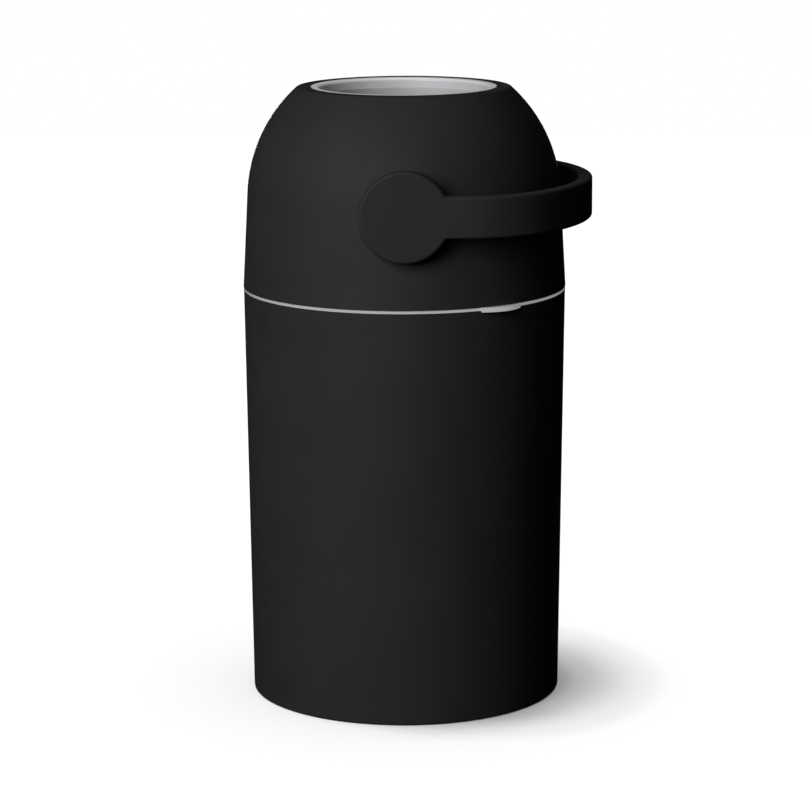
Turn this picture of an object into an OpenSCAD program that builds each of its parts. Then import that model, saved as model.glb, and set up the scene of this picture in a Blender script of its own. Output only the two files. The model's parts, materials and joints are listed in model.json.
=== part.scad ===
// Flip-over nappy bin. A tapered bucket holds the bag. A head, hinged to the bucket's rim,
// carries a ball-shaped drum with a tube through it. Swinging the carrying handle over by half
// a turn turns the drum, and the piston in its tube pushes the nappy out into the bag.
//
// Frame: millimetres, +Z up, origin at the centre of the foot mat's underside. The handle lies
// along +X at rest, and its pivot line runs along Y.

/* [Bucket] */
// Height of the bucket's rim above the floor
bucket_h = 335; // [320:1:350]
// Outer diameter of the bucket at its rim
rim_d = 263; // [260:0.5:267]
// Outer diameter of the bucket at the floor
foot_d = 254.4; // [244:0.2:260]
// Wall thickness of the bucket
bucket_wall = 3; // [2:0.25:4]
// Thickness of the bucket's floor
floor_t = 4; // [3:0.5:8]
// Height of the bucket's lowest edge above the floor
foot_lift = 0.4; // [0.2:0.1:2]
// Rounding of the bucket's lowest edge
foot_round = 1; // [0.5:0.25:2.5]
// Thickness of the non-slip foot mat
mat_t = 4; // [3:0.5:6]
// Gap between the mat and the bucket's skirt
mat_gap = 0.8; // [0.3:0.1:2]

/* [Bag ring] */
// Depth of the ledge's top below the rim
ledge_drop = 20; // [18:0.5:30]
// Thickness of the ledge
ledge_t = 3; // [2:0.5:5]
// Reach of the ledge from the bucket's wall
ledge_w = 5.5; // [4:0.5:8]
// Height of the bag ring
ring_h = 9.5; // [7:0.5:10.5]
// Wall thickness of the bag ring
ring_wall = 2.5; // [2:0.25:3.5]
// Reach of the bag ring's lip towards the middle
ring_lip = 7.5; // [4:0.5:10]
// Gap between the bag ring and the bucket's wall, for the bag's film
ring_gap = 1.2; // [0.5:0.1:2]

/* [Seam frame] */
// Thickness of the frame's flange, seen as the pale line between bucket and head
seam_t = 2.5; // [2:0.1:4]
// Gap between the bucket's rim and the flange
seam_gap = 0.2; // [0.1:0.05:0.5]
// Setback of the flange's edge from the bucket's rim
seam_inset = 0.4; // [0.2:0.1:1]
// Depth of the spigot below the rim
spigot_depth = 9; // [7.5:0.5:9.5]
// Wall thickness of the spigot
spigot_wall = 2.5; // [2:0.25:3.5]
// Gap between the spigot and the bucket's wall
spigot_gap = 1; // [0.6:0.1:1.5]
// Height of the rim gasket
gasket_h = 3; // [2:0.5:4]
// Gap between the rim gasket and the bucket's wall
gasket_gap = 0.35; // [0.3:0.05:0.5]
// Length of the throat below the cup
throat_h = 16; // [10:1:24]
// Angle of the finger tab from the front, towards the handle
tab_turn = 35.5; // [25:0.5:45]
// Radius of the finger tab's rounded edge
tab_round = 32; // [26:1:40]
// Reach of the finger tab beyond the flange
tab_reach = 6; // [4:0.5:9]
// Depth of the finger tab below the flange
tab_drop = 1.2; // [0.5:0.1:3]
// Height of the frame's stiffening ribs
rib_h = 10; // [6:1:16]

/* [Head shell] */
// Height of the head shell
head_h = 162.3; // [161:0.1:164]
// Wall thickness of the head shell
head_wall = 3; // [2:0.25:3.5]
// Overhang of the head shell beyond the bucket's rim
head_overhang = 0.3; // [0:0.1:1]
// Draft of the head shell's straight part, in degrees
draft = 3.05; // [2:0.05:3.5]
// Height of the head shell's domed part, above its straight part
dome_h = 85; // [82:0.1:88]
// Radius of the dome's profile
dome_r = 122; // [120:0.5:124]
// Rounding between the dome and the flat top
top_round = 3; // [1:0.5:4]

/* [Passage] */
// Inner diameter of the collar and of the drum's tube
passage_d = 137; // [132:0.5:138]
// Width of the pale rim round the mouth
collar_w = 7; // [6:0.25:8]
// Depth of the mouth collar
collar_h = 12; // [11:0.5:14]
// Rounding of the collar's inner edge
lip_round = 2.5; // [1:0.25:3]
// Gap between the collar and the drum
collar_gap = 0.6; // [0.4:0.1:1]
// Thickness of the mouth seal
seal_t = 3; // [2:0.5:4]
// Gap between the seals and the drum
seal_gap = 0.35; // [0.3:0.05:0.6]

/* [Drum] */
// Height of the mouth's rim above the end of the passage through the drum
mouth_rise = 9.75; // [9:0.25:11]
// Diameter of the drum's ball
drum_d = 208; // [205:0.5:209]
// Wall thickness of the drum's half shells
drum_wall = 2.5; // [2:0.25:3.5]
// Gap between the drum and its cradle
drum_gap = 2; // [1.5:0.25:3]
// Wall thickness of the cradle
cradle_wall = 2.5; // [2:0.25:4]
// Wall thickness of the drum's tube
tube_wall = 2; // [1.5:0.25:3]
// Height of the tube's end rings
end_ring_h = 6; // [5:0.5:9]
// Reach of the end rings' lip into the tube
end_lip = 2; // [1:0.25:3]

/* [Piston] */
// Height of the piston
piston_h = 22; // [18:1:34]
// Gap between the piston's plates and the tube
piston_gap = 0.5; // [0.3:0.1:0.8]
// Thickness of the piston's plates
plate_t = 3; // [2.5:0.25:4]
// Thickness of the wiper ring between the plates
wiper_t = 2; // [1.5:0.25:3]
// Gap between the wiper ring and the tube
wiper_gap = 0.3; // [0.3:0.05:0.4]
// Gap between the piston's weight and the posts round it
weight_gap = 3.5; // [1:0.5:20]
// Thickness of the piston's weight
weight_t = 5; // [3:0.5:6]
// Gap between the piston and the end rings at either end of its travel
stroke_gap = 0.3; // [0.3:0.05:1]

/* [Handle] */
// Height of the handle's band
handle_h = 33; // [28:0.5:36]
// Thickness of the handle's band
handle_t = 11; // [9:0.5:12]
// Diameter of the handle's discs
disc_d = 72; // [68:1:76]
// Thickness of the handle's discs
disc_t = 12.6; // [12:0.1:15]
// Gap between the discs and the bulge of the head shell
disc_gap = 0.75; // [0.5:0.05:2]
// Gap for the fingers between the handle and the head shell
grip_gap = 14.3; // [12:0.1:30]
// Length of the handle's straight arms
arm_l = 44; // [38:1:50]
// Radius of the two corners of the handle's loop
corner_r = 90; // [80:1:100]
// Rounding of the handle's edges
edge_round = 2.5; // [1:0.25:4]
// Fillet between a disc and its arm
crook_round = 4; // [2:0.5:8]

/* [Pivot] */
// Diameter of the drive hubs
hub_d = 21.9; // [18:0.1:24]
// Running gap between a hub and its bush
running_gap = 0.05; // [0.02:0.01:0.1]
// Wall thickness of the bushes
bush_wall = 3.9; // [2.5:0.1:5]
// Diameter of the pads that carry the bushes
pad_d = 60; // [56:1:62]
// Gap between the pads and the handle's discs
pad_gap = 0.5; // [0.3:0.05:1]
// Depth of the pads behind their face
pad_depth = 12; // [11:0.5:14]
// Width of the hubs' square keys
key_w = 14; // [12:0.5:15]
// Length of the hubs' square keys
key_l = 6.6; // [5:0.1:7]
// Gap between a key and its socket
key_gap = 0.1; // [0.05:0.05:0.2]
// Diameter of the stop pegs behind the discs
peg_d = 6; // [4:0.5:7]
// Distance of the stop pegs from the pivot line
peg_out = 22; // [21:0.5:24]
// Depth to which the stop pegs reach into the pads
peg_l = 3; // [2:0.5:5]

/* [Hinge] */
// Distance of the hinge axis from the bucket's rim
hinge_out = 8; // [7.5:0.5:10]
// Diameter of the hinge's knuckles
knuckle_d = 11; // [9:0.5:12]
// Width of the hinge
hinge_w = 44; // [36:1:60]
// Width of the head's knuckle
knuckle_w = 19; // [12:1:24]
// Gap between the knuckles
knuckle_gap = 0.5; // [0.3:0.1:1]
// Diameter of the hinge pin
pin_d = 4; // [3:0.25:5]
// Angle at which the open head rests on its stop
open_angle = 75; // [60:1:80]

/* [Screws] */
// Diameter of the screws
screw_d = 4; // [3:0.25:4.5]
// Diameter of the screws' heads
screw_head_d = 7.6; // [6:0.2:8]
// Height of the screws' heads
screw_head_h = 3; // [2:0.25:3.5]
// Diameter of the two drive screws that hold the hubs
drive_screw_d = 5; // [4:0.25:6]

/* [Hidden] */
$fn = 120;

black = [0.12, 0.12, 0.125];
pale_grey = [0.72, 0.72, 0.74];
natural = [0.9, 0.89, 0.85];
rubber = [0.2, 0.2, 0.21];
steel = [0.6, 0.61, 0.63];
brass = [0.78, 0.65, 0.35];

FRONT = -1; // side of the pivot line that faces -Y
BACK = 1;
slip = 0.1; // loose fit between pieces of one body
seat_gap = 0.05; // between the ends of pieces that are pressed together
cut = 1; // overshoot of a cutting body past the face that it cuts

// Heights
floor_top = mat_t + floor_t;
frame_z = bucket_h + seam_gap;
head_z = frame_z + seam_t;
mouth_z = head_z + head_h;
pivot_z = mouth_z - mouth_rise - ball_h(drum_d / 2, passage_d / 2);
ledge_z = bucket_h - ledge_drop;

// Radii
rim_r = rim_d / 2;
foot_r = foot_d / 2;
passage_r = passage_d / 2;
mouth_r = passage_r + collar_w; // of the hole in the flat top
drum_r = drum_d / 2;
cradle_in_r = drum_r + drum_gap;
cradle_out_r = cradle_in_r + cradle_wall;
head_r = rim_r + head_overhang;
flange_r = rim_r - seam_inset;
screw_r = screw_d / 2;
screw_head_r = screw_head_d / 2;
pilot_r = screw_r + 0.05;
hole_r = screw_r + 0.3;

// Outer radius of the bucket at a height
function bucket_r(z) = foot_r + (rim_r - foot_r) * z / bucket_h;

// Height at which a ball of radius ball_r, centred on a level, has the radius r
function ball_h(ball_r, r) = sqrt(ball_r * ball_r - r * r);

function arc_points(centre, r, from, to, steps = 6) =
  [for (i = [0:steps]) centre + r * [cos(from + (to - from) * i / steps),
                                     sin(from + (to - from) * i / steps)]];

// ---- Plane shapes: the first coordinate is the distance from the axis, the second the height

module band(r_in, r_out, z_low, z_high) {
  translate([r_in, z_low])
    square([r_out - r_in, z_high - z_low]);
}

// The section of a ball about the pivot
module ball_section(r) {
  translate([0, pivot_z])
    circle(r);
}

// The section of a hollow ball about the pivot, between two heights, outside a radius
module hollow_ball_section(r_in, r_out, r_min, z_low, z_high) {
  intersection() {
    difference() {
      ball_section(r_out);
      ball_section(r_in);
    }
    band(r_min, r_out + cut, z_low, z_high);
  }
}

// A rectangle about the origin with round corners
module round_rect(w, h, r) {
  square([w - 2 * r, h], center = true);
  square([w, h - 2 * r], center = true);
  for (x = [-1, 1], y = [-1, 1])
    translate([x * (w / 2 - r), y * (h / 2 - r)])
      circle(r);
}

// ---- Placing

// Puts what is drawn along +Z onto the pivot line, pointing outwards on one side
module on_pivot(side) {
  translate([0, 0, pivot_z])
    mirror([0, side == BACK ? 1 : 0, 0])
      rotate([90, 0, 0])
        children();
}

// Copies children round the axis
module around(count, first = 0) {
  for (i = [0:count - 1])
    rotate([0, 0, first + i * 360 / count])
      children();
}

// ---- Bucket: shell, mat and bag ring

mat_r = bucket_r(0) - bucket_wall - mat_gap;

module foot_mat() {
  color(rubber)
    cylinder(r = mat_r, h = mat_t);
}

module bucket_section() {
  low_r = bucket_r(foot_lift);
  difference() {
    polygon(concat(
      [[0, mat_t], [bucket_r(mat_t) - bucket_wall, mat_t],
       [bucket_r(mat_t) - bucket_wall, foot_lift]],
      arc_points([low_r - foot_round, foot_lift + foot_round], foot_round, -90, 0),
      [[rim_r, bucket_h], [0, bucket_h]]));
    polygon([
      [0, floor_top], [bucket_r(floor_top) - bucket_wall, floor_top],
      [rim_r - bucket_wall, bucket_h], [rim_r - bucket_wall, bucket_h + cut],
      [0, bucket_h + cut]]);
  }
  band(bucket_r(ledge_z) - bucket_wall - ledge_w, bucket_r(ledge_z) - bucket_wall / 2,
       ledge_z - ledge_t, ledge_z);
}

module bucket() {
  color(black)
    difference() {
      union() {
        rotate_extrude()
          bucket_section();
        bucket_lugs();
      }
      hinge_bore(pin_r + 0.02);
    }
}

ring_out_r = bucket_r(ledge_z) - bucket_wall - ring_gap;

module bag_ring() {
  ring_in_r = ring_out_r - ring_wall;
  ring_top = ledge_z + ring_h;
  color(pale_grey)
    rotate_extrude() {
      band(ring_in_r, ring_out_r, ledge_z, ring_top);
      band(ring_in_r - ring_lip, ring_in_r + ring_wall / 2, ring_top - ring_wall, ring_top);
    }
}

// ---- Hinge, on the far side from the finger tab

tab_azimuth = tab_turn - 90;
hinge_azimuth = tab_azimuth + 180;
hinge_r = rim_r + hinge_out;
hinge_z = frame_z + seam_t / 2;
knuckle_r = knuckle_d / 2;
pin_r = pin_d / 2;
lug_in = -hinge_out - bucket_wall - cut; // start of the lugs, inside the wall
stop_gap = 0.35; // between the open head's lug and its stop
lug_heel = [knuckle_r - 0.2, 1.5]; // ends of the face of the head's lug that meets the stop
lug_toe = [-1, 14];

// A point about the hinge axis, outward and upward, once the head is open by an angle
function turned(p, angle) = [
  p.x * cos(angle) + p.y * sin(angle),
  p.y * cos(angle) - p.x * sin(angle)
];

// Puts a plane shape, outward and upward from the hinge axis, between two places along it
module along_hinge(from, to) {
  rotate([0, 0, hinge_azimuth])
    translate([hinge_r, to, hinge_z])
      rotate([90, 0, 0])
        linear_extrude(height = to - from)
          children();
}

module hinge_bore(r) {
  along_hinge(-hinge_w / 2 - 5, hinge_w / 2 + 5)
    circle(r);
}

module inside_of_bucket() {
  rotate_extrude()
    polygon([
      [0, mat_t], [bucket_r(mat_t) - bucket_wall / 2, mat_t],
      [rim_r - bucket_wall / 2, bucket_h], [0, bucket_h]]);
}

// Two knuckles on gussets, and between them the rib on which the open head rests
module bucket_lugs() {
  side_in = knuckle_w / 2 + knuckle_gap;
  seat_heel = turned(lug_heel, open_angle);
  seat_run = turned(lug_toe, open_angle) - seat_heel;
  seat_dir = seat_run / norm(seat_run);
  seat_down = [seat_dir.y, -seat_dir.x];
  difference() {
    union() {
      for (side = [-1, 1])
        along_hinge(side > 0 ? side_in : -hinge_w / 2, side > 0 ? hinge_w / 2 : -side_in) {
          circle(knuckle_r);
          polygon([[lug_in, -2.5], [0, -1.5], [0, -knuckle_r], [lug_in, -22]]);
          polygon([[0, 0], [knuckle_r * cos(20), -knuckle_r * sin(20)], [0, -knuckle_r]]);
        }
      along_hinge(-side_in - cut, side_in + cut)
        polygon([
          [lug_in, -12], [-knuckle_r, -knuckle_r - 2.5], [0.5, -knuckle_r - 1.6],
          seat_heel + 4 * seat_dir + stop_gap * seat_down,
          seat_heel + 10 * seat_dir + stop_gap * seat_down,
          seat_heel + 10 * seat_dir + 3.5 * seat_down,
          [2, -knuckle_r - 7], [lug_in, -22]]);
    }
    inside_of_bucket();
  }
}

module head_lug() {
  seam_up = head_z - hinge_z;
  difference() {
    along_hinge(-knuckle_w / 2, knuckle_w / 2) {
      circle(knuckle_r);
      polygon([[lug_in, seam_up], [-hinge_out + 0.5, seam_up], [0, -1.5], lug_heel, lug_toe,
               [lug_in, 28]]);
    }
    rotate_extrude()
      dome_section(head_wall / 2, head_z - cut);
  }
}

module hinge_pin() {
  color(steel) {
    along_hinge(-hinge_w / 2 - 0.6, hinge_w / 2 + 0.2)
      circle(pin_r);
    along_hinge(hinge_w / 2, hinge_w / 2 + 1.4)
      circle(pin_r + 1.4);
  }
}

// ---- Head shell

dome_z = mouth_z - dome_h;
dome_centre = [head_wall_r(dome_z) - dome_r * cos(draft),
               dome_z - dome_r * sin(draft)];

// Outer radius of the head shell at a height on its straight part
function head_wall_r(z) = head_r - (z - head_z) * tan(draft);

// The area under the head's profile, set in by a wall, from a height up
module dome_section(inset, z_low) {
  r = dome_r - inset;
  meet = dome_centre + r * [cos(draft), sin(draft)];
  intersection() {
    band(0, head_r + cut, z_low, mouth_z - inset);
    union() {
      translate(dome_centre)
        circle(r);
      polygon([[0, z_low], [head_wall_r(z_low) - inset / cos(draft), z_low], meet,
               [0, meet.y]]);
    }
  }
}

// The same area with the edge of the flat top rounded
module rounded_dome_section() {
  level = mouth_z - top_round;
  spot = [dome_centre.x + ball_h(dome_r - top_round, level - dome_centre.y), level];
  out = (spot - dome_centre) / norm(spot - dome_centre);
  difference() {
    dome_section(0, head_z);
    polygon([spot, spot + 2 * top_round * out, spot + 3 * top_round * (out + [0, 1]),
             spot + [0, 2 * top_round]]);
  }
  translate(spot)
    circle(top_round);
}

disc_r = disc_d / 2;
disc_in_y = head_wall_r(pivot_z - disc_r) + disc_gap;
disc_out_y = disc_in_y + disc_t;
pad_y = disc_in_y - pad_gap;
pad_in_y = pad_y - pad_depth;
hub_r = hub_d / 2;
bush_in_r = hub_r + running_gap;
bush_out_r = bush_in_r + bush_wall;
peg_r = peg_d / 2;
groove_gap = 0.4; // round the stop peg
boss_at_r = 118; // the frame screws' distance from the axis
boss_r = screw_r + 3;
boss_h = 20;

module stop_groove() {
  end = asin((peg_r + groove_gap) / peg_out);
  translate([0, 0, pad_y - peg_l - 0.5])
    rotate([0, 0, -90 - end])
      rotate_extrude(angle = 180 + 2 * end)
        band(peg_out - peg_r - groove_gap, peg_out + peg_r + groove_gap, 0, peg_l + 0.5 + cut);
}

module frame_boss() {
  translate([boss_at_r, 0, head_z]) {
    cylinder(r = boss_r, h = boss_h);
    translate([0, -1, 0])
      cube([head_wall_r(head_z + boss_h) - head_wall / 2 - boss_at_r, 2, boss_h]);
  }
}

module head_shell() {
  color(black)
    difference() {
      union() {
        rotate_extrude()
          difference() {
            rounded_dome_section();
            dome_section(head_wall, head_z - cut);
            band(-cut, mouth_r, head_z, mouth_z + cut);
          }
        for (side = [FRONT, BACK])
          on_pivot(side)
            translate([0, 0, pad_in_y])
              cylinder(d = pad_d, h = pad_depth);
        around(4, 22.5)
          frame_boss();
        head_lug();
      }
      for (side = [FRONT, BACK])
        on_pivot(side) {
          cylinder(r = bush_out_r + slip, h = disc_out_y);
          stop_groove();
        }
      around(4, 22.5)
        translate([boss_at_r, 0, head_z - cut])
          cylinder(r = pilot_r, h = boss_h - 2);
      hinge_bore(pin_r + 0.08);
    }
}

// ---- Cradle: the lower cup is part of the pale frame, the upper cap is screwed onto it

ear_out = 11; // reach of the ears from the cradle
ear_w = 14;
ear_low_t = 8;
ear_up_t = 6;
ear_start_r = cradle_in_r + cradle_wall / 2;
ear_screw_r = ear_start_r + 7;
neck_r = 13.5; // of the drum's bosses round the hubs
neck_y = drum_r + 0.6; // outer face of those bosses

module ears(z_low, height) {
  around(4, 45)
    translate([ear_start_r, -ear_w / 2, z_low])
      cube([ear_out, ear_w, height]);
}

module neck_bores() {
  for (side = [FRONT, BACK])
    on_pivot(side)
      cylinder(r = neck_r + 1.5, h = cradle_out_r + 10);
}

// The tab reaches past the rim, and hangs down outside it
module finger_tab() {
  low_z = frame_z - tab_drop;
  difference() {
    rotate([0, 0, tab_azimuth])
      translate([flange_r + tab_reach - tab_round, 0, low_z])
        cylinder(r = tab_round, h = head_z - low_z);
    translate([0, 0, low_z - cut])
      cylinder(r = flange_r - cut, h = head_z - low_z + 2 * cut);
    translate([0, 0, low_z - cut])
      cylinder(r = rim_r + 0.5, h = tab_drop + cut);
  }
}

module frame_ribs() {
  difference() {
    around(8, 11.25)
      translate([throat_in_r + cradle_wall / 2, -1, head_z - seam_t / 2])
        cube([boss_at_r - throat_in_r - cradle_wall / 2, 2, rib_h + seam_t / 2]);
    translate([0, 0, pivot_z])
      sphere(cradle_in_r + cradle_wall / 2);
  }
}

spigot_z = bucket_h - spigot_depth;
spigot_out_r = bucket_r(spigot_z) - bucket_wall - spigot_gap;
gasket_z = spigot_z + (spigot_depth - gasket_h) / 2;
gasket_in_r = spigot_out_r - 1.2;
gasket_out_r = bucket_r(gasket_z) - bucket_wall - gasket_gap;
throat_in_r = passage_r + 1;
throat_out_r = throat_in_r + cradle_wall;
cup_low_z = pivot_z - ball_h(cradle_out_r, throat_in_r);
throat_z = cup_low_z - throat_h + cradle_wall;

module frame_section() {
  difference() {
    union() {
      band(throat_in_r, flange_r, frame_z, head_z);
      intersection() {
        ball_section(cradle_out_r);
        band(throat_in_r, cradle_out_r + cut, throat_z, pivot_z);
      }
      band(throat_in_r, throat_out_r, throat_z, cup_low_z + cradle_wall);
      band(spigot_out_r - spigot_wall, spigot_out_r, spigot_z, frame_z + seam_t / 2);
    }
    ball_section(cradle_in_r);
    band(gasket_in_r, spigot_out_r + cut, gasket_z, gasket_z + gasket_h);
  }
}

module inner_frame() {
  color(pale_grey)
    difference() {
      union() {
        rotate_extrude()
          frame_section();
        finger_tab();
        ears(pivot_z - ear_low_t, ear_low_t);
        frame_ribs();
      }
      neck_bores();
      around(4, 45)
        translate([ear_screw_r, 0, pivot_z - ear_low_t - cut])
          cylinder(r = pilot_r, h = ear_low_t + 2 * cut);
      around(4, 22.5)
        translate([boss_at_r, 0, frame_z - cut])
          cylinder(r = hole_r, h = seam_t + 2 * cut);
    }
}

collar_out_r = mouth_r - 0.2;
collar_z = mouth_z - collar_h;
collar_step_z = collar_z + 2; // underside of the collar's hidden flange
seat_in_r = mouth_r + 0.9; // the cradle's seat under that flange
seat_out_r = mouth_r + 5;

module upper_cradle() {
  color(pale_grey)
    difference() {
      union() {
        rotate_extrude() {
          difference() {
            hollow_ball_section(cradle_in_r, cradle_out_r, seat_in_r, pivot_z, collar_z);
            band(0, seat_in_r, collar_z - seal_t - slip, mouth_z);
          }
          difference() {
            band(seat_in_r, seat_out_r, collar_z - seal_t - 2, collar_step_z - slip);
            ball_section(cradle_in_r);
          }
        }
        ears(pivot_z, ear_up_t);
      }
      neck_bores();
      around(4, 45)
        translate([ear_screw_r, 0, pivot_z - cut])
          cylinder(r = hole_r, h = ear_up_t + 2 * cut);
    }
}

module mouth_collar() {
  color(pale_grey)
    rotate_extrude()
      difference() {
        union() {
          polygon(concat(
            [[passage_r, collar_z], [collar_out_r, collar_z], [collar_out_r, mouth_z]],
            arc_points([passage_r + lip_round, mouth_z - lip_round], lip_round, 90, 180)));
          band(collar_out_r - 1, seat_out_r, collar_step_z, mouth_z - head_wall - slip);
        }
        ball_section(drum_r + collar_gap);
      }
}

module mouth_seal() {
  color(rubber)
    rotate_extrude()
      difference() {
        band(passage_r + 2.5, seat_in_r - slip, collar_z - seal_t, collar_z);
        ball_section(drum_r + seal_gap);
      }
}

module throat_seal() {
  color(rubber)
    rotate_extrude()
      hollow_ball_section(drum_r + seal_gap, cradle_in_r - 0.05, throat_in_r + 0.3,
                          pivot_z - cradle_out_r, pivot_z - ball_h(cradle_in_r, throat_in_r + 6));
}

module rim_gasket() {
  color(rubber)
    rotate_extrude()
      band(gasket_in_r + 0.05, gasket_out_r, gasket_z + 0.05, gasket_z + gasket_h - 0.05);
}

module bush(side) {
  flange_t = 1.8;
  color(natural)
    on_pivot(side)
      rotate_extrude() {
        band(bush_in_r, bush_out_r, pad_in_y - flange_t, pad_y - slip);
        band(bush_in_r, bush_out_r + 3, pad_in_y - flange_t, pad_in_y);
      }
}

module bush_front() {
  bush(FRONT);
}

module bush_back() {
  bush(BACK);
}

// ---- Screws

// A pan-head screw with a cross slot, its head's underside at the origin, pointing down
module screw(length, r = screw_r, head_r = screw_head_r, head_h = screw_head_h) {
  slot_w = r / 2;
  difference() {
    union() {
      translate([0, 0, -length])
        cylinder(r = r, h = length);
      cylinder(r = head_r, h = head_h);
    }
    for (turn = [0, 90])
      rotate([0, 0, turn])
        translate([-head_r * 0.6, -slot_w / 2, head_h * 0.6])
          cube([head_r * 1.2, slot_w, head_h]);
  }
}

module cradle_screws() {
  color(steel)
    around(4, 45)
      translate([ear_screw_r, 0, pivot_z + ear_up_t])
        screw(ear_up_t + ear_low_t - 1);
}

module frame_screws() {
  color(steel)
    around(4, 22.5)
      translate([boss_at_r, 0, frame_z])
        rotate([180, 0, 0])
          screw(seam_t + boss_h - 5);
}

// ---- Drum: two half shells round the tube, joined along the plane of the passage

tube_out_r = passage_r + tube_wall;
tube_half = ball_h(drum_r, passage_r) - end_ring_h;
end_ring_out_r = tube_out_r + 3.5;
skirt_h = 3; // of the end rings' skirts down the outside of the tube
web_t = 3; // of the webs that hold the tube in the half shells
neck_in_y = drum_r - 12;
post_at = drum_r - drum_wall - 4; // distance of the joining screws from the pivot line
post_angles = [20, 160, 200, 340];
post_r = screw_r + 3.5;
post_l = 16;
post_seat = 12; // depth of the screw heads' seats from the joint

module drum_section() {
  hollow_ball_section(drum_r - drum_wall, drum_r, end_ring_out_r + 0.2,
                      pivot_z - drum_r, pivot_z + drum_r);
  intersection() {
    ball_section(drum_r - drum_wall / 2);
    for (end = [-1, 1])
      translate([0, end * (tube_half - skirt_h - web_t / 2 - 0.5)])
        band(tube_out_r + 0.3, drum_r, pivot_z - web_t / 2, pivot_z + web_t / 2);
  }
}

// A half on one side, with posts for the joining screws
module drum_half(side) {
  color(pale_grey)
    difference() {
      union() {
        mirror([0, side == FRONT ? 1 : 0, 0])
          rotate_extrude(angle = 180)
            drum_section();
        intersection() {
          on_pivot(side)
            for (angle = post_angles)
              rotate([0, 0, angle])
                translate([post_at, 0, 0])
                  cylinder(r = post_r, h = post_l);
          translate([0, 0, pivot_z])
            sphere(drum_r - 0.3);
        }
        on_pivot(side)
          translate([0, 0, neck_in_y])
            cylinder(r = neck_r, h = neck_y - neck_in_y);
      }
      on_pivot(side) {
        translate([0, 0, neck_in_y - cut])
          cylinder(d = drive_screw_d + 0.4, h = 20);
        translate([0, 0, neck_y - key_l - 0.2])
          linear_extrude(height = 20)
            square(key_w + 2 * key_gap, center = true);
      }
    }
}

module drum_half_front() {
  color(pale_grey)
    difference() {
      drum_half(FRONT);
      on_pivot(FRONT)
        for (angle = post_angles)
          rotate([0, 0, angle])
            translate([post_at, 0, 0]) {
              translate([0, 0, -cut])
                cylinder(r = hole_r, h = drum_r);
              translate([0, 0, post_seat])
                cylinder(r = screw_head_r + 0.3, h = drum_r);
            }
    }
}

module drum_half_back() {
  color(pale_grey)
    difference() {
      drum_half(BACK);
      on_pivot(BACK)
        for (angle = post_angles)
          rotate([0, 0, angle])
            translate([post_at, 0, -cut])
              cylinder(r = pilot_r, h = post_l - 1);
    }
}

module drum_screws() {
  color(steel)
    on_pivot(FRONT)
      for (angle = post_angles)
        rotate([0, 0, angle])
          translate([post_at, 0, post_seat])
            screw(post_seat + post_l - 4);
}

module drum_tube() {
  color(pale_grey)
    rotate_extrude()
      band(passage_r, tube_out_r, pivot_z - tube_half + seat_gap, pivot_z + tube_half - seat_gap);
}

// A ring that closes the tube's end, with a lip that stops the piston
module tube_ring() {
  color(pale_grey)
    rotate_extrude()
      intersection() {
        union() {
          band(passage_r - end_lip, end_ring_out_r, pivot_z + tube_half, pivot_z + drum_r);
          band(tube_out_r + 0.1, end_ring_out_r, pivot_z + tube_half - skirt_h,
               pivot_z + tube_half + cut);
        }
        ball_section(drum_r);
      }
}

module tube_ring_upper() {
  tube_ring();
}

module tube_ring_lower() {
  translate([0, 0, 2 * pivot_z])
    mirror([0, 0, 1])
      tube_ring();
}

// ---- Drive: hubs keyed to the drum and to the handle's discs

insert_r = drive_screw_d / 2 + 1.15;
socket_l = key_l + 0.4;
insert_end_y = disc_out_y - 2;

module hub(side) {
  color(black)
    on_pivot(side)
      difference() {
        union() {
          translate([0, 0, neck_y + seat_gap])
            cylinder(r = hub_r, h = disc_in_y - neck_y - 2 * seat_gap);
          translate([0, 0, neck_y - key_l])
            linear_extrude(height = disc_in_y - neck_y + 2 * key_l)
              square(key_w, center = true);
        }
        cylinder(d = drive_screw_d + 0.4, h = disc_out_y);
      }
}

module hub_front() {
  hub(FRONT);
}

module hub_back() {
  hub(BACK);
}

module hub_screws() {
  color(steel)
    for (side = [FRONT, BACK])
      on_pivot(side)
        translate([0, 0, neck_in_y])
          mirror([0, 0, 1])
            screw(insert_end_y - 0.3 - neck_in_y, drive_screw_d / 2, drive_screw_d * 0.9);
}

module handle_inserts() {
  color(brass)
    for (side = [FRONT, BACK])
      on_pivot(side)
        translate([0, 0, disc_in_y + socket_l])
          difference() {
            cylinder(r = insert_r, h = insert_end_y - disc_in_y - socket_l);
            translate([0, 0, -cut])
              cylinder(r = drive_screw_d / 2 + 0.05, h = disc_t);
          }
}

// ---- Handle: two discs, two straight arms and a rounded loop in one piece

arm_y = disc_out_y - handle_t / 2; // middle of the band
reach = head_wall_r(pivot_z) + grip_gap + handle_t;
loop_l = reach - arm_l;
corner_y = disc_out_y - corner_r; // centres of the corners, at the arms' ends
// Radius of the end arc, which meets both corners without a kink
end_r = (loop_l * loop_l + disc_out_y * disc_out_y - 2 * disc_out_y * corner_r)
        / (2 * (loop_l - corner_r));
end_x = reach - end_r; // centre of the end arc
end_angle = atan2(corner_y, arm_l - end_x); // from the middle of the end arc to either corner

module disc_profile() {
  polygon(concat(
    [[0, disc_in_y], [disc_r - 1, disc_in_y], [disc_r, disc_in_y + 1]],
    arc_points([disc_r - edge_round, disc_out_y - edge_round], edge_round, 0, 90),
    [[0, disc_out_y]]));
}

// Fillet between a disc and the upper or lower edge of its arm
module crook(up) {
  x = ball_h(disc_r + crook_round, handle_h / 2 + crook_round);
  centre = [x, up * (handle_h / 2 + crook_round)];
  foot = centre * disc_r / norm(centre);
  difference() {
    polygon([foot, centre, [x, up * (handle_h / 2 - 2)], [disc_r * 0.7, up * (handle_h / 2 - 2)]]);
    translate(centre)
      circle(crook_round);
  }
}

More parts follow.
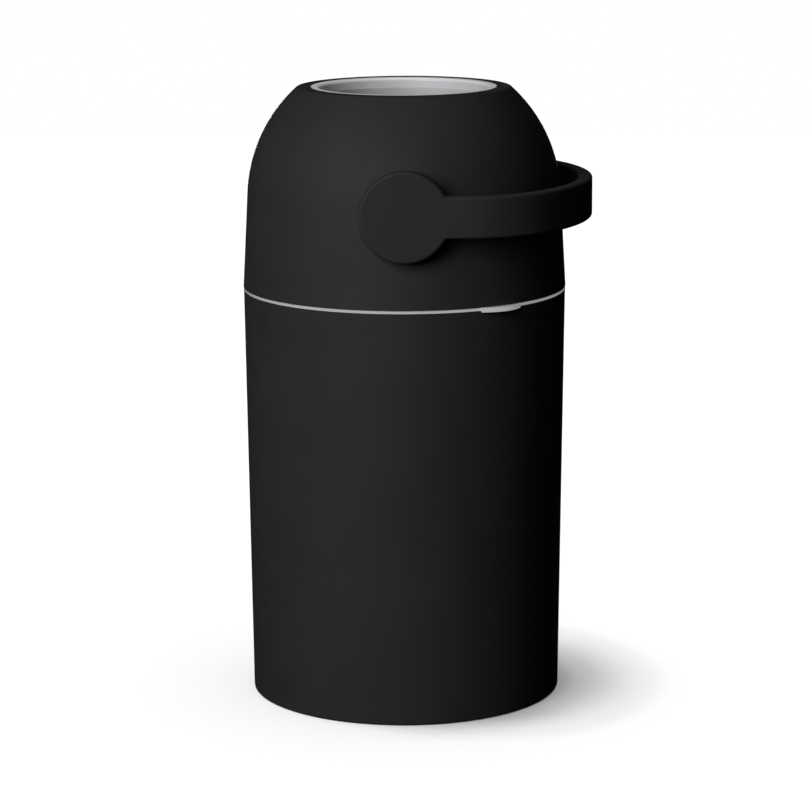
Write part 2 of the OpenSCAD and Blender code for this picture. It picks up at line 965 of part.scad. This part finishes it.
// An arc of the band, between two angles about the origin, by its outer radius
module band_arc(r, from, to) {
  rotate([0, 0, from])
    rotate_extrude(angle = to - from)
      translate([r - handle_t / 2, 0])
        round_rect(handle_t, handle_h, edge_round);
}

// Makes the band a hair thicker over the line at which two stretches of it meet
module band_sleeve(r, angle) {
  hair = 0.02;
  rotate([0, 0, angle])
    translate([r - handle_t / 2, 0, 0])
      rotate([90, 0, 0])
        linear_extrude(height = 2, center = true)
          round_rect(handle_t + 2 * hair, handle_h + 2 * hair, edge_round + hair);
}

module handle() {
  color(black)
    difference() {
      union() {
        translate([end_x, 0, pivot_z])
          band_arc(end_r, -end_angle, end_angle);
        for (side = [FRONT, BACK]) {
          mirror([0, side == BACK ? 1 : 0, 0]) {
            translate([arm_l, -corner_y, pivot_z]) {
              band_arc(corner_r, -90, -end_angle);
              band_sleeve(corner_r, -90);
              band_sleeve(corner_r, -end_angle);
            }
            translate([0, -arm_y, pivot_z])
              rotate([90, 0, 90])
                linear_extrude(height = arm_l)
                  round_rect(handle_t, handle_h, edge_round);
          }
          on_pivot(side) {
            rotate_extrude()
              disc_profile();
            translate([0, 0, disc_out_y - handle_t + 0.5])
              linear_extrude(height = handle_t - 1.3)
                for (up = [-1, 1])
                  crook(up);
            translate([0, -peg_out, pad_y - peg_l])
              cylinder(r = peg_r, h = peg_l + pad_gap + cut);
          }
        }
      }
      for (side = [FRONT, BACK])
        on_pivot(side) {
          translate([0, 0, disc_in_y - cut])
            linear_extrude(height = socket_l + cut)
              square(key_w + 2 * key_gap, center = true);
          cylinder(r = insert_r + 0.05, h = insert_end_y);
        }
    }
}

// ---- Piston: two plates with a wiper between them and a weight inside

piston_r = passage_r - piston_gap;
piston_z = pivot_z - tube_half + stroke_gap;
half_h = (piston_h - wiper_t) / 2;
piston_skirt = 4;
piston_screw_at = piston_r - piston_skirt - 2;
piston_post_r = screw_r + 2.5;
head_recess = 2.4;

// One plate, its face down at height zero, less the children at its four posts
module piston_plate() {
  difference() {
    union() {
      rotate_extrude() {
        band(0, piston_r, 0, plate_t);
        band(piston_r - piston_skirt, piston_r, 0, half_h);
      }
      around(4, 45)
        translate([piston_screw_at, 0, plate_t / 2])
          cylinder(r = piston_post_r, h = half_h - slip - plate_t / 2);
    }
    around(4, 45)
      translate([piston_screw_at, 0, 0])
        children();
  }
}

module piston_lower() {
  color(pale_grey)
    translate([0, 0, piston_z])
      piston_plate() {
        translate([0, 0, -cut])
          cylinder(r = hole_r, h = half_h + 2 * cut);
        translate([0, 0, -cut])
          cylinder(r = screw_head_r + 0.1, h = head_recess + cut);
      }
}

module piston_upper() {
  color(pale_grey)
    translate([0, 0, piston_z + piston_h])
      mirror([0, 0, 1])
        piston_plate()
          translate([0, 0, plate_t - 0.5])
            cylinder(r = pilot_r, h = half_h);
}

module piston_wiper() {
  color(rubber)
    translate([0, 0, piston_z + half_h])
      difference() {
        cylinder(r = passage_r - wiper_gap, h = wiper_t);
        translate([0, 0, -cut])
          cylinder(r = piston_screw_at - 8, h = wiper_t + 2 * cut);
        around(4, 45)
          translate([piston_screw_at, 0, -cut])
            cylinder(r = hole_r, h = wiper_t + 2 * cut);
      }
}

module piston_weight() {
  color(steel)
    translate([0, 0, piston_z + plate_t])
      cylinder(r = piston_screw_at - piston_post_r - weight_gap, h = weight_t);
}

module piston_screws() {
  color(steel)
    around(4, 45)
      translate([piston_screw_at, 0, piston_z + head_recess])
        mirror([0, 0, 1])
          screw(piston_h - head_recess - plate_t - 1, head_h = head_recess - 0.4);
}

bucket();
foot_mat();
bag_ring();
hinge_pin();
head_shell();
inner_frame();
upper_cradle();
mouth_collar();
mouth_seal();
throat_seal();
rim_gasket();
bush_front();
bush_back();
cradle_screws();
frame_screws();
drum_half_front();
drum_half_back();
drum_tube();
tube_ring_upper();
tube_ring_lower();
drum_screws();
hub_front();
hub_back();
hub_screws();
handle();
handle_inserts();
piston_upper();
piston_lower();
piston_wiper();
piston_weight();
piston_screws();
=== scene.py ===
"""Looks for the nappy bin: materials, the dressed handle, floor, light and camera."""

import json
import math

import bmesh
import bpy
from mathutils import Matrix, Vector


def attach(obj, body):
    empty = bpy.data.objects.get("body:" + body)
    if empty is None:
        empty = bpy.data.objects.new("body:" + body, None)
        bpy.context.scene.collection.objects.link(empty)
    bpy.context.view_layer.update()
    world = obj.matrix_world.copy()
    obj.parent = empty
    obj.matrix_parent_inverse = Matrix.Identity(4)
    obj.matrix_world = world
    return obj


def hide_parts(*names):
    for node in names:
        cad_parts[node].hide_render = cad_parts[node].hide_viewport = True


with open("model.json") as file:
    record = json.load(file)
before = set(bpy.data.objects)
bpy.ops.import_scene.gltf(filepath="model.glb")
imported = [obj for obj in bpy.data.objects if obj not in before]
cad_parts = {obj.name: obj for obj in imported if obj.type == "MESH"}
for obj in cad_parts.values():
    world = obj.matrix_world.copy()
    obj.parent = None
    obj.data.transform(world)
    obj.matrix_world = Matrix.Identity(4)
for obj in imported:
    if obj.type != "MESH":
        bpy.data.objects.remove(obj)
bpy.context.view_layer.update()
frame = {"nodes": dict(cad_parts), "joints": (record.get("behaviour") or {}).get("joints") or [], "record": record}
MM = 0.001
WHITE = (1.0, 1.0, 1.0, 1.0)


# ---- Node trees

class Graph:
    """The node tree of a material or world, with short calls for what they share."""

    def __init__(self, owner):
        owner.use_nodes = True
        self.tree = owner.node_tree
        self.tree.nodes.clear()

    def add(self, kind, inputs=None, **settings):
        node = self.tree.nodes.new(kind)
        for key, value in settings.items():
            setattr(node, key, value)
        for key, value in (inputs or {}).items():
            node.inputs[key].default_value = value
        return node

    def link(self, start, end):
        self.tree.links.new(start, end)

    def spread(self, value, low, high, start=0.3, end=0.7):
        """Maps a value's range from start to end onto low to high."""
        node = self.add("ShaderNodeMapRange",
                        {"From Min": start, "From Max": end, "To Min": low, "To Max": high})
        self.link(value, node.inputs["Value"])
        return node.outputs[0]


class Surface(Graph):
    """A material with a Principled shader, whose textures lie in the object's own coordinates."""

    def __init__(self, name, finish):
        self.mat = bpy.data.materials.new(name)
        super().__init__(self.mat)
        out = self.add("ShaderNodeOutputMaterial")
        self.bsdf = self.add("ShaderNodeBsdfPrincipled", finish)
        self.link(self.bsdf.outputs[0], out.inputs["Surface"])
        self.place = self.add("ShaderNodeTexCoord").outputs["Object"]

    def stretched(self, scale):
        node = self.add("ShaderNodeMapping", {"Scale": scale})
        self.link(self.place, node.inputs["Vector"])
        return node.outputs[0]

    def noise(self, scale, detail, rough, place=None):
        node = self.add("ShaderNodeTexNoise", {"Scale": scale, "Detail": detail, "Roughness": rough})
        self.link(place or self.place, node.inputs["Vector"])
        return node.outputs["Fac"]

    def colour(self, value, dark, light):
        """Runs the base colour from dark to light with the value."""
        node = self.add("ShaderNodeValToRGB")
        for element, at, shade in zip(node.color_ramp.elements, (0.3, 0.7), (dark, light)):
            element.position = at
            element.color = (*shade, 1.0)
        self.link(value, node.inputs["Fac"])
        self.link(node.outputs["Color"], self.bsdf.inputs["Base Color"])

    def roughness(self, value, smoothest, roughest):
        self.link(self.spread(value, smoothest, roughest), self.bsdf.inputs["Roughness"])

    def bump(self, *heights):
        """Stacks bumps, each given as a height, its strength and its depth in mm."""
        normal = None
        for height, strength, depth in heights:
            node = self.add("ShaderNodeBump", {"Strength": strength, "Distance": depth * MM})
            self.link(height, node.inputs["Height"])
            if normal:
                self.link(normal, node.inputs["Normal"])
            normal = node.outputs[0]
        self.link(normal, self.bsdf.inputs["Normal"])


# ---- Materials, one for each slot of the record

WAVE_DEPTH, GRAIN_DEPTH, MARK_DEPTH = 0.6, 0.06, 0.04  # mm


def moulded(name, dark, light, rough, specular, grain, grain_strength):
    """Moulded plastic: slight flow clouds in the colour, handling marks in the roughness, slow
    waves and spark-eroded grain in the surface."""
    s = Surface(name, {"Specular IOR Level": specular, "IOR": 1.5})
    s.colour(s.noise(scale=14.0, detail=4.0, rough=0.55), dark, light)
    s.roughness(s.noise(scale=55.0, detail=5.0, rough=0.6), *rough)
    waves = s.noise(scale=22.0, detail=1.0, rough=0.4)
    fine = s.noise(scale=grain, detail=2.0, rough=0.6)
    s.bump((waves, 0.10, WAVE_DEPTH), (fine, grain_strength, GRAIN_DEPTH))
    return s.mat


def metal(name, dark, light, rough, turned):
    """Plated or turned metal with fine tool marks, which run across the axis that turned scales up."""
    s = Surface(name, {"Metallic": 1.0})
    marks = s.noise(scale=240.0, detail=3.0, rough=0.6, place=s.stretched(turned))
    s.colour(marks, dark, light)
    s.roughness(marks, *rough)
    s.bump((marks, 0.3, MARK_DEPTH))
    return s.mat


SLOTS = {
    "black_plastic": moulded("black_plastic", (0.0182, 0.0184, 0.0188), (0.0215, 0.0217, 0.0221),
                             rough=(0.62, 0.72), specular=0.14, grain=2600.0, grain_strength=0.3),
    "pale_plastic": moulded("pale_plastic", (0.43, 0.43, 0.445), (0.47, 0.47, 0.485),
                            rough=(0.38, 0.48), specular=0.4, grain=2000.0, grain_strength=0.2),
    "rubber": moulded("rubber", (0.026, 0.026, 0.028), (0.036, 0.036, 0.038),
                      rough=(0.74, 0.86), specular=0.3, grain=1500.0, grain_strength=0.5),
    "natural_nylon": moulded("natural_nylon", (0.62, 0.60, 0.54), (0.70, 0.68, 0.62),
                             rough=(0.34, 0.44), specular=0.45, grain=1200.0, grain_strength=0.15),
    "black_nylon": moulded("black_nylon", (0.020, 0.020, 0.021), (0.030, 0.030, 0.031),
                           rough=(0.42, 0.55), specular=0.4, grain=1400.0, grain_strength=0.4),
    "steel": metal("steel", (0.50, 0.51, 0.53), (0.62, 0.63, 0.65),
                   rough=(0.22, 0.36), turned=(1.0, 1.0, 6.0)),
    "weight_steel": metal("weight_steel", (0.34, 0.34, 0.35), (0.44, 0.44, 0.45),
                          rough=(0.35, 0.55), turned=(8.0, 1.0, 1.0)),
    "brass": metal("brass", (0.58, 0.44, 0.19), (0.68, 0.53, 0.25),
                   rough=(0.2, 0.34), turned=(1.0, 8.0, 1.0)),
}

for part in frame["record"]["subparts"]:
    for slot in frame["nodes"][part["node"]].material_slots:
        slot.material = SLOTS[part["material_slot"]]


# ---- The handle: one skin with rounded edges, drawn flat and then bent round the loop, in mm

PIVOT_Z = next(j["pos_m"][2] for j in frame["joints"] if j["name"] == "handle_turn") / MM
DISC_R = 36.0
DISC_OUT = 143.111  # outer face of the discs, from the plane midway between them
DISC_T = 12.6
BAND_H = 33.0
BAND_T = 11.0
ARM = 44.0  # straight stretch of each arm, from the disc's middle
CORNER_R = 90.0
REACH = 153.12  # outer face of the loop's end, from the bin's axis
EDGE = 2.5  # rounding of the edges
DISC_BACK_EDGE = 1.0  # rounding of the discs' back edge
CROOK = 4.0  # rounding of the corners between disc and band
FADE = (DISC_R - 1.0, DISC_R + 3.0)  # where the disc's section turns into the band's

EDGE_STEPS = 6
DISC_STEPS = 40
CROOK_STEPS = 8
BAND_STEPS = 90


def smooth(low, high, value):
    t = min(1.0, max(0.0, (value - low) / (high - low)))
    return t * t * (3 - 2 * t)


def loop_path():
    """Outer line of the loop in plan, as its half length and a function from the distance along
    it to a point and the outward direction. The half runs from the front disc's middle to the
    middle of the end: straight arm, corner arc, end arc. The other half mirrors it."""
    run = REACH - ARM
    corner_y = DISC_OUT - CORNER_R
    end_r = (run * run + DISC_OUT ** 2 - 2 * DISC_OUT * CORNER_R) / (2 * (run - CORNER_R))
    end_x = REACH - end_r
    split = math.atan2(corner_y, ARM - end_x)
    corner_len = CORNER_R * (math.pi / 2 - split)
    half = ARM + corner_len + end_r * split

    def at(along):
        back = along > half
        if back:
            along = 2 * half - along
        if along <= ARM:
            x, y, turn = along, -DISC_OUT, 0.0
        elif along <= ARM + corner_len:
            turn = (along - ARM) / CORNER_R
            x = ARM + CORNER_R * math.sin(turn)
            y = -corner_y - CORNER_R * math.cos(turn)
        else:
            turn = math.pi / 2 - (half - along) / end_r
            x = end_x + end_r * math.sin(turn)
            y = -end_r * math.cos(turn)
        nx, ny = math.sin(turn), -math.cos(turn)
        return (x, -y, nx, -ny) if back else (x, y, nx, ny)

    return half, at


def upper_outline(half):
    """Upper edge of the unrolled handle, between the discs' far points. Each point has its
    distance along the handle, its height and the outward direction."""
    mid = BAND_H / 2 + CROOK  # height of the crook's centre
    crook_at = math.sqrt((DISC_R + CROOK) ** 2 - mid ** 2)
    meet = math.atan2(mid, crook_at)  # the angle on the disc where the crook starts
    points = []
    for i in range(1, DISC_STEPS + 1):
        a = math.pi - (math.pi - meet) * i / DISC_STEPS
        points.append((DISC_R * math.cos(a), DISC_R * math.sin(a), math.cos(a), math.sin(a)))
    for i in range(1, CROOK_STEPS + 1):
        a = meet + (math.pi / 2 - meet) * i / CROOK_STEPS
        points.append((crook_at - CROOK * math.cos(a), mid - CROOK * math.sin(a),
                       math.cos(a), math.sin(a)))
    start = points[-1][0]
    for i in range(1, BAND_STEPS + 1):
        points.append((start + (half - start) * i / BAND_STEPS, BAND_H / 2, 0.0, 1.0))
    return points + [(2 * half - s, z, -ns, nz) for s, z, ns, nz in reversed(points[:-1])]


def edge_profile():
    """Section through the edge, from the outer face round to the back face. Each point says
    whether it is on the outer edge, and how far it is in from the outline and from the face, as
    shares of that edge's rounding."""
    angles = [math.pi / 2 * k / EDGE_STEPS for k in range(EDGE_STEPS + 1)]
    outer = [(True, 1 - math.cos(a), 1 - math.sin(a)) for a in reversed(angles)]
    back = [(False, 1 - math.cos(a), 1 - math.sin(a)) for a in angles]
    return outer + back


def make_handle():
    half, at = loop_path()
    outline = upper_outline(half)
    profile = edge_profile()
    bm = bmesh.new()

    def vertex(along, z, depth):
        """A point of the unrolled handle, bent round the loop. The discs stay flat."""
        along = min(max(along, -DISC_R), 2 * half + DISC_R)
        if along < 0:
            x, y, nx, ny = along, -DISC_OUT, 0.0, -1.0
        elif along > 2 * half:
            x, y, nx, ny = 2 * half - along, DISC_OUT, 0.0, 1.0
        else:
            x, y, nx, ny = at(along)
        return bm.verts.new(((x - nx * depth) * MM, (y - ny * depth) * MM, (PIVOT_Z + z) * MM))

    def section(point, side):
        """Vertices round the edge at a point of the outline, above (side 1) or below (-1)."""
        s, z, ns, nz = point
        on_band = smooth(*FADE, min(s, 2 * half - s))
        thick = DISC_T + (BAND_T - DISC_T) * on_band
        back_edge = DISC_BACK_EDGE + (EDGE - DISC_BACK_EDGE) * on_band
        made = []
        for outer, inward, lift in profile:
            r = EDGE if outer else back_edge
            depth = r * lift if outer else thick - r * lift
            made.append(vertex(s - ns * r * inward, side * (z - nz * r * inward), depth))
        return made

    first = section((-DISC_R, 0.0, -1.0, 0.0), 1)
    last = section((2 * half + DISC_R, 0.0, 1.0, 0.0), 1)
    upper = [first] + [section(point, 1) for point in outline] + [last]
    lower = [first] + [section(point, -1) for point in outline] + [last]
    for row in (upper, lower):
        for a, b in zip(row, row[1:]):
            for k in range(len(profile) - 1):
                bm.faces.new((a[k], b[k], b[k + 1], a[k + 1]))
    for k in (0, -1):
        for i in range(len(upper) - 1):
            corners = (upper[i][k], upper[i + 1][k], lower[i + 1][k], lower[i][k])
            bm.faces.new(list(dict.fromkeys(corners)))  # the end faces have three corners
    bmesh.ops.recalc_face_normals(bm, faces=bm.faces)

    mesh = bpy.data.meshes.new("handle_skin")
    bm.to_mesh(mesh)
    bm.free()
    for face in mesh.polygons:
        face.use_smooth = True
    mesh.materials.append(SLOTS["black_plastic"])
    skin = bpy.data.objects.new("handle_skin", mesh)
    bpy.context.scene.collection.objects.link(skin)
    normals = skin.modifiers.new("normals", "WEIGHTED_NORMAL")
    normals.weight = 80
    return skin


handle = make_handle()
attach(handle, "drum")
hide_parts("handle")


# ---- Floor and world, in metres

FLOOR_HALF = 4.0
FLOOR_DROP = 0.0002  # below the mat's underside, so that the two faces don't fight
SKY_START, SKY_FULL = 0.75, 0.95  # upward share of a shiny ray's direction
STUDIO = 0.006  # strength of the studio all round


def make_floor():
    """A matt pale floor that takes the object's shadow and throws no light on the object."""
    bm = bmesh.new()
    bmesh.ops.create_grid(bm, x_segments=8, y_segments=8, size=FLOOR_HALF)
    mesh = bpy.data.meshes.new("floor")
    bm.to_mesh(mesh)
    bm.free()
    finish = {"Base Color": (0.86, 0.86, 0.86, 1.0), "Roughness": 0.9, "Specular IOR Level": 0.0}
    mesh.materials.append(Surface("floor", finish).mat)
    obj = bpy.data.objects.new("floor", mesh)
    obj.location.z = -FLOOR_DROP
    obj.visible_glossy = False
    obj.visible_diffuse = False
    bpy.context.scene.collection.objects.link(obj)
    return obj


def make_world():
    """White where the camera looks past the floor, a pale sky for shiny pieces to reflect, and
    a dim studio round the object."""
    world = bpy.data.worlds.new("studio")
    bpy.context.scene.world = world
    g = Graph(world)

    def background(strength):
        return g.add("ShaderNodeBackground", {"Color": WHITE, "Strength": strength}).outputs[0]

    def combine(operation, a, b):
        node = g.add("ShaderNodeMath", operation=operation)
        g.link(a, node.inputs[0])
        g.link(b, node.inputs[1])
        return node.outputs[0]

    ray = g.add("ShaderNodeLightPath").outputs
    split = g.add("ShaderNodeSeparateXYZ")
    g.link(g.add("ShaderNodeTexCoord").outputs["Generated"], split.inputs[0])
    sky = g.spread(split.outputs["Z"], 0.0, 1.0, SKY_START, SKY_FULL)
    shiny = combine("MULTIPLY", ray["Is Glossy Ray"], sky)
    seen = combine("MAXIMUM", ray["Is Camera Ray"], ray["Is Transmission Ray"])
    mix = g.add("ShaderNodeMixShader")
    g.link(combine("MAXIMUM", seen, shiny), mix.inputs["Fac"])
    g.link(background(STUDIO), mix.inputs[1])
    g.link(background(1.0), mix.inputs[2])
    g.link(mix.outputs[0], g.add("ShaderNodeOutputWorld").inputs["Surface"])


floor = make_floor()
make_world()


# ---- Lamps, in metres, degrees and watts. Each lights only the pieces that it is linked to

LAMP_AWAY = 2.4
MIDDLE = (0.0, 0.0, 0.28)
LOW = (0.0, 0.0, 0.2)


def direction(azimuth, elevation):
    """From the object towards a lamp: azimuth from the front, positive to the right."""
    a, e = math.radians(azimuth), math.radians(elevation)
    return Vector((math.sin(a) * math.cos(e), -math.cos(a) * math.cos(e), math.sin(e)))


def add_lamp(name, kind, azimuth, elevation, power):
    data = bpy.data.lights.new(name, kind)
    data.energy = power
    lamp = bpy.data.objects.new(name, data)
    lamp.rotation_euler = direction(azimuth, elevation).to_track_quat("Z", "Y").to_euler()
    bpy.context.scene.collection.objects.link(lamp)
    return lamp


def area(name, azimuth, elevation, size, power, aim=MIDDLE):
    lamp = add_lamp(name, "AREA", azimuth, elevation, power)
    lamp.data.shape = "RECTANGLE"
    lamp.data.size, lamp.data.size_y = size
    lamp.location = Vector(aim) + direction(azimuth, elevation) * LAMP_AWAY
    lamp.visible_camera = False
    return lamp


def wide_sun(name, azimuth, elevation, spread, power):
    """A sun with soft shadows. Its power is in watts per square metre."""
    lamp = add_lamp(name, "SUN", azimuth, elevation, power)
    lamp.data.angle = math.radians(spread)
    return lamp


def light_only(name, lamps, objects):
    """Lets the lamps light these objects and no others."""
    group = bpy.data.collections.new(name)
    for obj in objects:
        group.objects.link(obj)
    for lamp in lamps:
        lamp.light_linking.receiver_collection = group


key = area("key", azimuth=-31.0, elevation=23.0, size=(1.2, 1.4), power=45.0)
side = area("side", azimuth=-50.0, elevation=25.0, size=(1.2, 1.6), power=13.0)
rear = area("rear", azimuth=180.0, elevation=0.0, size=(1.0, 0.36), power=38.0, aim=LOW)
seam = area("seam", azimuth=72.0, elevation=12.0, size=(0.8, 0.8), power=31.0)
lip = area("lip", azimuth=10.0, elevation=78.0, size=(1.0, 1.0), power=34.0)
floor_sky = wide_sun("floor_sky", azimuth=0.0, elevation=90.0, spread=140.0, power=2.0)
floor_sun = wide_sun("floor_sun", azimuth=-75.0, elevation=85.0, spread=10.0, power=2.0)

meshes = [obj for obj in bpy.data.objects if obj.type == "MESH" and obj is not floor]
light_only("lit_object", (key, side, rear), meshes)
light_only("lit_frame", (seam,), [frame["nodes"]["inner_frame"]])
light_only("lit_collar", (lip,), [frame["nodes"]["mouth_collar"]])
light_only("lit_floor", (floor_sky, floor_sun), [floor])


# ---- Camera, at the photograph's viewing angle

CAMERA_AT = (0.0, -2.54865, 0.75512)
CAMERA_DOWN = math.radians(11.505)
CAMERA_ROLL = -0.004  # radians, about the line of sight
LENS, SENSOR = 139.89, 36.0  # mm

camera_data = bpy.data.cameras.new("camera")
camera_data.sensor_width = SENSOR
camera_data.lens = LENS
camera = bpy.data.objects.new("camera", camera_data)
tilt = Matrix.Rotation(math.pi / 2 - CAMERA_DOWN, 4, "X")
camera.matrix_world = Matrix.Translation(CAMERA_AT) @ tilt @ Matrix.Rotation(CAMERA_ROLL, 4, "Z")
bpy.context.scene.collection.objects.link(camera)
bpy.context.scene.camera = camera
bpy.context.scene.view_settings.view_transform = "Standard"
